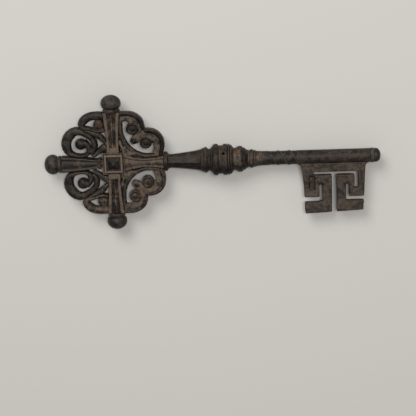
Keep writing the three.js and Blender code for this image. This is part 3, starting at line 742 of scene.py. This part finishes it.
def iron(name, low, high, edge, relief=0.14, gloss=0.3, spot=(0, 0, 0), **shares):
    """A material of aged cast iron, with its own colours, rust spot and values of the skin."""
    material = bpy.data.materials.get(name)
    if material:
        return material
    material = bpy.data.materials.new(name)
    material.use_nodes = True
    tree = material.node_tree
    tree.nodes.clear()
    out = make_node(tree, "ShaderNodeOutputMaterial", 700, 0)
    shader = make_node(tree, "ShaderNodeBsdfPrincipled", 400, 0)
    skin = make_node(tree, "ShaderNodeGroup", 0, 0, node_tree=skin_group())
    bump = make_node(tree, "ShaderNodeBump", 200, -250)
    colours = {"Low Colour": low, "High Colour": high, "Edge Colour": edge, "Rust Colour": hues().rust}
    for socket, colour in colours.items():
        skin.inputs[socket].default_value = (*colour, 1)
    named = {share.replace("_", " ").title(): value for share, value in shares.items()}
    for socket, value in {**SKIN_VALUES, **named}.items():
        skin.inputs[socket].default_value = value
    skin.inputs["Spot"].default_value = [mm(value) for value in spot]
    shader.inputs["Specular IOR Level"].default_value = gloss
    bump.inputs["Strength"].default_value = 0.7
    bump.inputs["Distance"].default_value = mm(relief)
    link = tree.links.new
    link(skin.outputs["Color"], shader.inputs["Base Color"])
    link(skin.outputs["Roughness"], shader.inputs["Roughness"])
    link(skin.outputs["Metallic"], shader.inputs["Metallic"])
    link(skin.outputs["Height"], bump.inputs["Height"])
    link(bump.outputs["Normal"], shader.inputs["Normal"])
    link(shader.outputs[0], out.inputs["Surface"])
    return material


def ball_iron():
    """Smooth blackened iron of the balls, browner where the collars are rubbed."""
    return iron(
        "Blackened balls", hues().black, hues().brown, hues().tan, gloss=0.42,
        patches=0.36, edge_wear=0.5,
    )


def tip_iron():
    """Blackened end with a light band beside its groove."""
    return iron(
        "Tip", hues().black, hues().brown, hues().tan, gloss=0.45,
        patches=0.4, edge_wear=0.8, band_from=143.2, band_to=146.4, band_dark=-0.5,
    )


def scroll_iron():
    """Dark rubbed iron of the left scrolls, rusty on the upper crest's button."""
    return iron(
        "Dark scrolls", hues().black, hues().brown, hues().tan, gloss=0.32,
        spot=(-101.3, 36.5, 18.5), spot_size=3.6, patches=0.25, edge_wear=0.8,
    )


def leaf_iron():
    """Browner leaves between the left scrolls, the upper one rusty at one place, and straps."""
    return iron(
        "Brown leaves", hues().black, hues().brown, hues().pale,
        spot=(-97.2, 27, 17), spot_size=3.2, patches=0.42, rust=0.7, edge_wear=0.8,
    )


def crest_iron():
    """Brown speckled scroll on the bow's lower side."""
    return iron(
        "Speckled crest", hues().black, hues().tan, hues().tan,
        patches=0.32, rust=0.3, edge_wear=0.9,
    )


def lobe_iron(side):
    """Dark rims and volutes over a brown ledge. The lower lobes are the browner ones."""
    upper = side == "upper"
    return iron(
        f"Lobes {side}", hues().black, hues().tan, hues().tan,
        patches=0.46 if upper else 0.7, raised_dark=0.85 if upper else 0.6, level=3.8,
        rust=0.4, edge_wear=0.22 if upper else 0.4, grime=1.2,
    )


def cove_iron():
    """Dark hollow straps with a light edge."""
    return iron(
        "Dark coves", hues().black, hues().brown, hues().pale, patches=0.4, edge_wear=0.9,
    )


def upright_iron():
    """Light edge strips beside a dark flute, with one rusty place on the upper arm."""
    return iron(
        "Fluted arms", hues().black, hues().tan, hues().pale,
        spot=(-95.8, 27.5, 19), spot_size=3.6, patches=0.95, sunk_dark=0.96, level=3.9,
        rust=0.3, edge_wear=0.4,
    )


def level_iron(side):
    """Arms along the stem, the one beside the stem browner than the outer one."""
    return iron(
        f"Level arm {side}", hues().iron, hues().tan, hues().tan,
        patches=-0.05 if side == "left" else 0.52, rust=0.2, edge_wear=1.0, grime=1.0,
    )


def boss_iron():
    """Light raised frame over a brown field."""
    return iron(
        "Boss", hues().black, hues().tan, hues().pale,
        patches=1.1, sunk_dark=0.65, level=5.0, edge_wear=1.1, grime=1.0,
    )


def nail_iron():
    """Dark facets with rust stains and worn tan edges, which also serve as painted glints."""
    return iron(
        "Nailhead", hues().black, hues().iron, hues().tan, relief=0.4,
        patches=0.15, rust=1.8, edge_wear=1.4,
    )


def stem_iron():
    """Rubbed dark iron of the collar, baluster and knop, brown round the knop's pin, with strong painted
    shade on the sides that face -Y.
    """
    return iron(
        "Dark stem", hues().black, hues().brown, hues().tan, gloss=0.24,
        patches=0.45, rust=0.3, edge_wear=1.3, grime=1.0, under_dark=1.1,
        band_from=6.8, band_to=14.2, band_dark=-0.35,
    )


def shank_iron():
    """Blackened shank with the tops of its wound ridges worn bright."""
    return iron(
        "Wound shank", hues().black, hues().brown, hues().tan, gloss=0.35,
        # Painted shade on the sides that face -Y
        patches=0.3, edge_wear=1.5, grime=1.0, under_dark=0.6,
    )


def bead_iron():
    """Brown slope with a rusty place before the bead ring's dark end."""
    return iron(
        "Rusty rings", hues().black, hues().tan, hues().tan,
        spot=(23, 9.5, 21), spot_size=3.2, patches=0.42, rust=0.8, edge_wear=0.9, grime=1.0,
        # Painted shade on the sides that face -Y
        under_dark=0.7, band_from=26.2, band_to=34.0, band_dark=0.55,
    )


def ferrule_iron():
    """Dark brown mouldings with light edges."""
    return iron(
        "Ferrule", hues().black, hues().tan, hues().tan,
        # Painted shade on the sides that face -Y
        patches=0.33, rust=0.4, edge_wear=1.2, grime=1.0, under_dark=0.6,
    )


def barrel_iron():
    """Matt brown of the barrel."""
    return iron(
        "Brown barrel", hues().black, hues().brown, hues().tan,
        patches=0.5, rust=0.3, edge_wear=0.4, grime=1.0,
    )


def bit_iron():
    """Matt brown of the bit, with painted shade in near black along the edges that don't face +Y and on
    the sides that face -Y.
    """
    light = [(brown + tan) / 2 for brown, tan in zip(hues().brown, hues().tan)]
    return iron(
        "Brown bit", hues().iron, light, hues().worn,
        patches=0.45, rust=0.4, edge_wear=0.9, edge_dark=1.0, grime=1.0, under_dark=0.8,
    )


def pin_iron():
    """The sunk pin."""
    return iron("Pin", hues().black, hues().iron, hues().iron, patches=0.0, grime=1.0)


# Operators


class KEY_OT_boss(bpy.types.Operator):
    """Boss block and its nailheads"""

    bl_idname = "key.boss"
    bl_label = "Boss"

    def execute(self, context):
        piece = cast_copy(
            "boss_block", cast().fine_grain, cast().plate_passes, BOSS_SWELL, tools=self.rings(),
        )
        place_in_key(piece, "boss_block", boss_iron())
        for node in ("nailhead_front", "nailhead_back"):
            piece = cast_copy(node, cast().fine_grain, NAIL_PASSES, BOSS_SWELL)
            place_in_key(piece, node, nail_iron())
        return {"FINISHED"}

    def rings(self):
        """A square ring on each face, to cut the groove round its frame."""
        outer, inner = GROOVE_WIDTHS
        low, high = GROOVE_HEIGHTS
        depth = high - low
        rings = []
        for face in (1, -1):
            place = (BOW.x, 0, AXIS_Z + face * mm((low + high) / 2))
            ring = block(place, (outer, outer, depth))
            cut_away(ring, [block(place, (inner, inner, depth * 2))])
            rings.append(ring)
        return rings


class KEY_OT_arms(bpy.types.Operator):
    """Four arms of the bow's cross"""

    bl_idname = "key.arms"
    bl_label = "Arms"

    def execute(self, context):
        for node, material, slot in (
            ("arm_upper", upright_iron(), "patina"),
            ("arm_lower", upright_iron(), "patina"),
            ("arm_left", level_iron("left"), "worn"),
            ("arm_stem", level_iron("stem"), "patina"),
        ):
            fills = []
            if node == "arm_stem":
                fills = [self.web(up, *sizes) for sizes in STEM_WEBS for up in (1, -1)]
            elif node != "arm_left":
                up = 1 if node == "arm_upper" else -1
                fills = [*self.flute_ends(up), self.web(up, *UPRIGHT_WEB)]
            piece = cast_copy(node, cast().fine_grain, cast().arm_passes, ARM_SWELL, fills=fills)
            place_in_key(piece, node, material)
        return {"FINISHED"}

    def web(self, up, across, along, degrees, length, width):
        """Web that closes the wedge between an arm and the cove beside it."""
        place = (BOW.x + mm(across), mm(up * along), AXIS_Z)
        web = block(place, (length, width, WEB_DEPTH), math.radians(up * degrees))
        apply_modifier(web, "BEVEL", width=mm(WEB_EDGE), segments=2)
        return web

    def flute_ends(self, up):
        """Rounded blocks that close the inner end of the flute on both faces."""
        ends = []
        for face in (1, -1):
            place = (BOW.x, up * mm(FLUTE_END_OUT), AXIS_Z + face * mm(FLUTE_END_LIFT))
            end = block(place, FLUTE_END_SIZE)
            apply_modifier(end, "BEVEL", width=mm(FLUTE_END_EDGE), segments=3)
            ends.append(end)
        return ends


class KEY_OT_finials(bpy.types.Operator):
    """Ball finials"""

    bl_idname = "key.finials"
    bl_label = "Ball finials"

    def execute(self, context):
        for node, turn in (
            ("finial_upper", QUARTER), ("finial_lower", -QUARTER), ("finial_left", math.pi),
        ):
            low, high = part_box(node)
            ends = (low.x - BOW.x, high.x - BOW.x) if node == "finial_left" else (low.y, high.y)
            reach = max(abs(end) for end in ends)
            start = reach - mm(FINIAL_LENGTH)
            piece = turned(node + "_ball", FINIAL_ROWS, start, reach, cast().round_sides)
            piece.rotation_euler = (0, 0, turn)
            piece.location = (BOW.x, 0, 0)
            apply_place(piece)
            apply_modifier(piece, "SUBSURF", levels=1, render_levels=1)
            smooth_shading(piece)
            place_in_key(piece, node, ball_iron())
        return {"FINISHED"}


class KEY_OT_left_scrolls(bpy.types.Operator):
    """Scrolls, leaves and straps of the bow's left quarters"""

    bl_idname = "key.left_scrolls"
    bl_label = "Left scrolls"

    def execute(self, context):
        for side in SIDES:
            for form, material, slot in (
                ("scroll_left", scroll_iron(), "dark"),
                ("crest_scroll", scroll_iron() if side == "upper" else crest_iron(), "dark"),
                ("leaf", leaf_iron(), "patina"),
                ("corner_strap", leaf_iron(), "worn"),
            ):
                node = f"{form}_{side}"
                piece = cast_copy(node, cast().grain, cast().scroll_passes, SCROLL_SWELL)
                place_in_key(piece, node, material)
        return {"FINISHED"}


class KEY_OT_right_lobes(bpy.types.Operator):
    """Lobes, buds and coves of the bow's right quarters"""

    bl_idname = "key.right_lobes"
    bl_label = "Right lobes"

    def execute(self, context):
        for side in SIDES:
            for form, material, slot in (
                ("lobe_outer", lobe_iron(side), "worn"),
                ("lobe_inner", lobe_iron(side), "worn"),
                ("bud", lobe_iron(side), "patina"),
                ("cove", cove_iron(), "patina"),
            ):
                node = f"{form}_{side}"
                piece = cast_copy(node, cast().grain, cast().plate_passes, LOBE_SWELL)
                place_in_key(piece, node, material)
        return {"FINISHED"}


class KEY_OT_stem(bpy.types.Operator):
    """Turned pieces of the stem"""

    bl_idname = "key.stem"
    bl_label = "Turned stem"

    def execute(self, context):
        for node, rows, material, slot in (
            ("collar", COLLAR_ROWS, stem_iron(), "dark"),
            ("knop", KNOP_ROWS, stem_iron(), "dark"),
            ("bead_ring", BEAD_ROWS, bead_iron(), "worn"),
            ("ferrule", FERRULE_ROWS, ferrule_iron(), "worn"),
            ("barrel", BARREL_ROWS, barrel_iron(), "patina"),
            ("tip", TIP_ROWS, tip_iron(), "dark"),
        ):
            piece = turned(node + "_turned", rows, STARTS[node], ENDS[node], cast().round_sides)
            if node == "knop":
                self.drill(piece)
            melted((piece,), cast().turned_grain, TURNED_PASSES)
            place_in_key(piece, node, material)
        self.make_baluster()
        piece = cast_copy("knop_pin", mm(PIN_GRAIN), TURNED_PASSES, PIN_SWELL)
        place_in_key(piece, "knop_pin", pin_iron())
        return {"FINISHED"}

    def drill(self, knop):
        """Cuts the pin's hole through the knop."""
        low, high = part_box("knop_pin")
        lean = math.atan2(high.y - low.y, high.z - low.z)
        middle = (low + high) / 2
        cut_away(knop, [plug(middle, PIN_HOLE_RADIUS, PIN_HOLE_DEPTH, PIN_HOLE_SIDES, -lean)])

    def make_baluster(self):
        """Eight tapering facets and a round lip."""
        start, end = STARTS["baluster"], ENDS["baluster"]
        facets = turned("baluster_cast", BALUSTER_ROWS, start, end, BALUSTER_SIDES)
        lip = turned("baluster_lip", LIP_ROWS, start, end, cast().round_sides)
        piece = melted((facets, lip), cast().fine_grain, BALUSTER_PASSES)
        place_in_key(piece, "baluster", stem_iron())


class KEY_OT_shank(bpy.types.Operator):
    """Shank with its rope twist"""

    bl_idname = "key.shank"
    bl_label = "Twisted shank"

    def execute(self, context):
        start = STARTS["twisted_shank"]
        end = ENDS["twisted_shank"]
        sides = cast().round_sides
        neck_end = start + cast().shank_neck
        neck = turned("shank_cast", SHANK_NECK_ROWS, start, neck_end + mm(NECK_OVERLAP), sides)
        core = turned("shank_core", [(0, SHANK_CORE), (1, SHANK_CORE)], neck_end, end, sides)
        strands = [self.strand(phase, neck_end, end) for phase in (0, math.pi)]
        piece = melted((neck, core, *strands), cast().fine_grain, SHANK_PASSES)
        place_in_key(piece, "twisted_shank", shank_iron())
        return {"FINISHED"}

    def strand(self, phase, start, end):
        """One round cord that winds about the axis and stands out of the core as a ridge."""
        radius = cast().shank_strand
        out = mm(SHANK_REACH) - radius
        place = (start, out * math.cos(phase), AXIS_Z + out * math.sin(phase))
        piece = start_body(place, radius, STRAND_SIDES)
        x = start
        for step in range(1, STRAND_STEPS + 1):
            next_x = start + (end - start) * step / STRAND_STEPS
            turn = 2 * math.pi * (next_x - x) / cast().shank_pitch
            bpy.ops.mesh.extrude_region_move(TRANSFORM_OT_translate={"value": (next_x - x, 0, 0)})
            bpy.ops.transform.rotate(value=-turn, orient_axis="X", center_override=(next_x, 0, AXIS_Z))
            x = next_x
        close_body()
        return piece


class KEY_OT_bit(bpy.types.Operator):
    """Bit with its meander of slots"""

    bl_idname = "key.bit"
    bl_label = "Bit"

    def execute(self, context):
        piece = cast_copy("bit", cast().grain, cast().bit_passes, BIT_SWELL, tools=self.gouges())
        for edge in ASKEW_EDGES:
            self.turn_edge(piece, *edge)
        place_in_key(piece, "bit", bit_iron())
        return {"FINISHED"}

    def turn_edge(self, piece, axis, limit, middle, degrees):
        """Turns what lies below a limit about a point, left side down, and eases the rest along."""
        only(piece)
        bpy.ops.object.mode_set(mode="EDIT")
        bpy.ops.mesh.select_all(action="DESELECT")
        bpy.ops.object.mode_set(mode="OBJECT")
        for vertex in piece.data.vertices:
            vertex.select = getattr(vertex.co, axis) < mm(limit)
        bpy.ops.object.mode_set(mode="EDIT")
        bpy.ops.transform.rotate(
            value=-math.radians(degrees), orient_axis="Z",
            center_override=(mm(middle[0]), mm(middle[1]), AXIS_Z),
            use_proportional_edit=True, proportional_edit_falloff="SMOOTH",
            proportional_size=mm(ASKEW_EASE),
        )
        bpy.ops.object.mode_set(mode="OBJECT")

    def gouges(self):
        """A box for the slot's end, and on each face the dents and a recess with a round foot."""
        x, y = SLOT_END
        tools = [block((mm(x), mm(y), AXIS_Z), SLOT_END_SIZE)]
        foot_x, foot_y = RECESS_FOOT
        middle_y = mm(foot_y) + mm(RECESS_LENGTH / 2)
        for face in (1, -1):
            for x, y in DENTS:
                place = (mm(x), mm(y), AXIS_Z + face * mm(DENT_LIFT))
                tools.append(plug(place, DENT_RADIUS, DENT_DEPTH))
            z = AXIS_Z + face * mm(RECESS_LIFT)
            size = (RECESS_WIDTH, RECESS_LENGTH, RECESS_DEPTH)
            tools.append(block((mm(foot_x), middle_y, z), size))
            tools.append(plug((mm(foot_x), mm(foot_y), z), RECESS_WIDTH / 2, RECESS_DEPTH))
        return tools


class KEY_OT_stage(bpy.types.Operator):
    """Floor, lights and camera"""

    bl_idname = "key.stage"
    bl_label = "Stage"

    def execute(self, context):
        self.make_floor()
        self.make_lights()
        self.make_camera()
        bpy.context.scene.view_settings.view_transform = "Standard"
        return {"FINISHED"}

    def make_floor(self):
        """A plain floor under the key."""
        bare_selection()
        bpy.ops.mesh.primitive_plane_add(size=FLOOR_SIZE, location=(0, 0, 0))
        floor = bpy.context.object
        floor.name = "floor"
        material = bpy.data.materials.new("Plain floor")
        material.use_nodes = True
        shader = material.node_tree.nodes["Principled BSDF"]
        shader.inputs["Base Color"].default_value = (*hues().floor, 1)
        shader.inputs["Roughness"].default_value = 0.9
        shader.inputs["Specular IOR Level"].default_value = 0.1
        floor.data.materials.append(material)

    def make_lights(self):
        """Even light from all round and two soft lamps that face the key's middle."""
        stage = bpy.context.scene.key_stage
        world = bpy.data.worlds.new("Pale room")
        bpy.context.scene.world = world
        world.use_nodes = True
        sky = world.node_tree.nodes["Background"]
        sky.inputs["Color"].default_value = SKY_COLOUR
        sky.inputs["Strength"].default_value = stage.sky
        for (name, place, size), power in (
            (MAIN_LAMP, stage.lamp_power), (FILL_LAMP, stage.fill_power),
        ):
            bpy.ops.object.light_add(type="AREA", location=place)
            lamp = bpy.context.object
            lamp.name = name
            lamp.data.shape = "DISK"
            lamp.data.size = size
            lamp.data.energy = power
            lamp.rotation_euler = place.to_track_quat("Z", "Y").to_euler()

    def make_camera(self):
        """Camera at the photo's angle and distance."""
        stage = bpy.context.scene.key_stage
        tilt, side, roll = stage.camera_tilt, stage.camera_side, stage.camera_roll
        back = Vector((math.sin(side) * math.cos(tilt), math.sin(tilt), math.cos(side) * math.cos(tilt)))
        right = Vector((0, 1, 0)).cross(back).normalized()
        up = back.cross(right)
        turned_right = right * math.cos(roll) + up * math.sin(roll)
        turned_up = up * math.cos(roll) - right * math.sin(roll)
        bpy.ops.object.camera_add()
        camera = bpy.context.object
        camera.data.sensor_width = SENSOR_WIDTH
        camera.data.lens = stage.camera_lens
        camera.data.clip_start = CLIP_START
        rotation = Matrix((turned_right, turned_up, back)).transposed().to_4x4()
        aim = Vector((*stage.camera_aim, AXIS_Z))
        camera.matrix_world = Matrix.Translation(aim + back * stage.camera_distance) @ rotation
        bpy.context.scene.camera = camera


STEPS = (
    KEY_OT_boss, KEY_OT_arms, KEY_OT_finials, KEY_OT_left_scrolls, KEY_OT_right_lobes,
    KEY_OT_stem, KEY_OT_shank, KEY_OT_bit, KEY_OT_stage,
)


class KEY_PT_panel(bpy.types.Panel):
    """Lists the steps and settings of the key"""

    bl_idname = "KEY_PT_panel"
    bl_label = "Skeleton Key"
    bl_space_type = "VIEW_3D"
    bl_region_type = "UI"
    bl_category = "Key"

    def draw(self, context):
        for step in STEPS:
            self.layout.operator(step.bl_idname)
        for settings in (context.scene.key_cast, context.scene.key_colours, context.scene.key_stage):
            for name in settings.__annotations__:
                self.layout.prop(settings, name)


CLASSES = (KeyCastSettings, KeyColourSettings, KeyStageSettings, *STEPS, KEY_PT_panel)


def register():
    """Adds the classes and the scene's settings."""
    for entry in CLASSES:
        bpy.utils.register_class(entry)
    bpy.types.Scene.key_cast = PointerProperty(type=KeyCastSettings)
    bpy.types.Scene.key_colours = PointerProperty(type=KeyColourSettings)
    bpy.types.Scene.key_stage = PointerProperty(type=KeyStageSettings)


def unregister():
    """Takes the settings and classes away."""
    del bpy.types.Scene.key_cast
    del bpy.types.Scene.key_colours
    del bpy.types.Scene.key_stage
    for entry in reversed(CLASSES):
        bpy.utils.unregister_class(entry)


def main():
    """Builds the key step by step."""
    register()
    for step in STEPS:
        area, name = step.bl_idname.split(".")
        getattr(getattr(bpy.ops, area), name)()


if __name__ == "__main__":
    main()
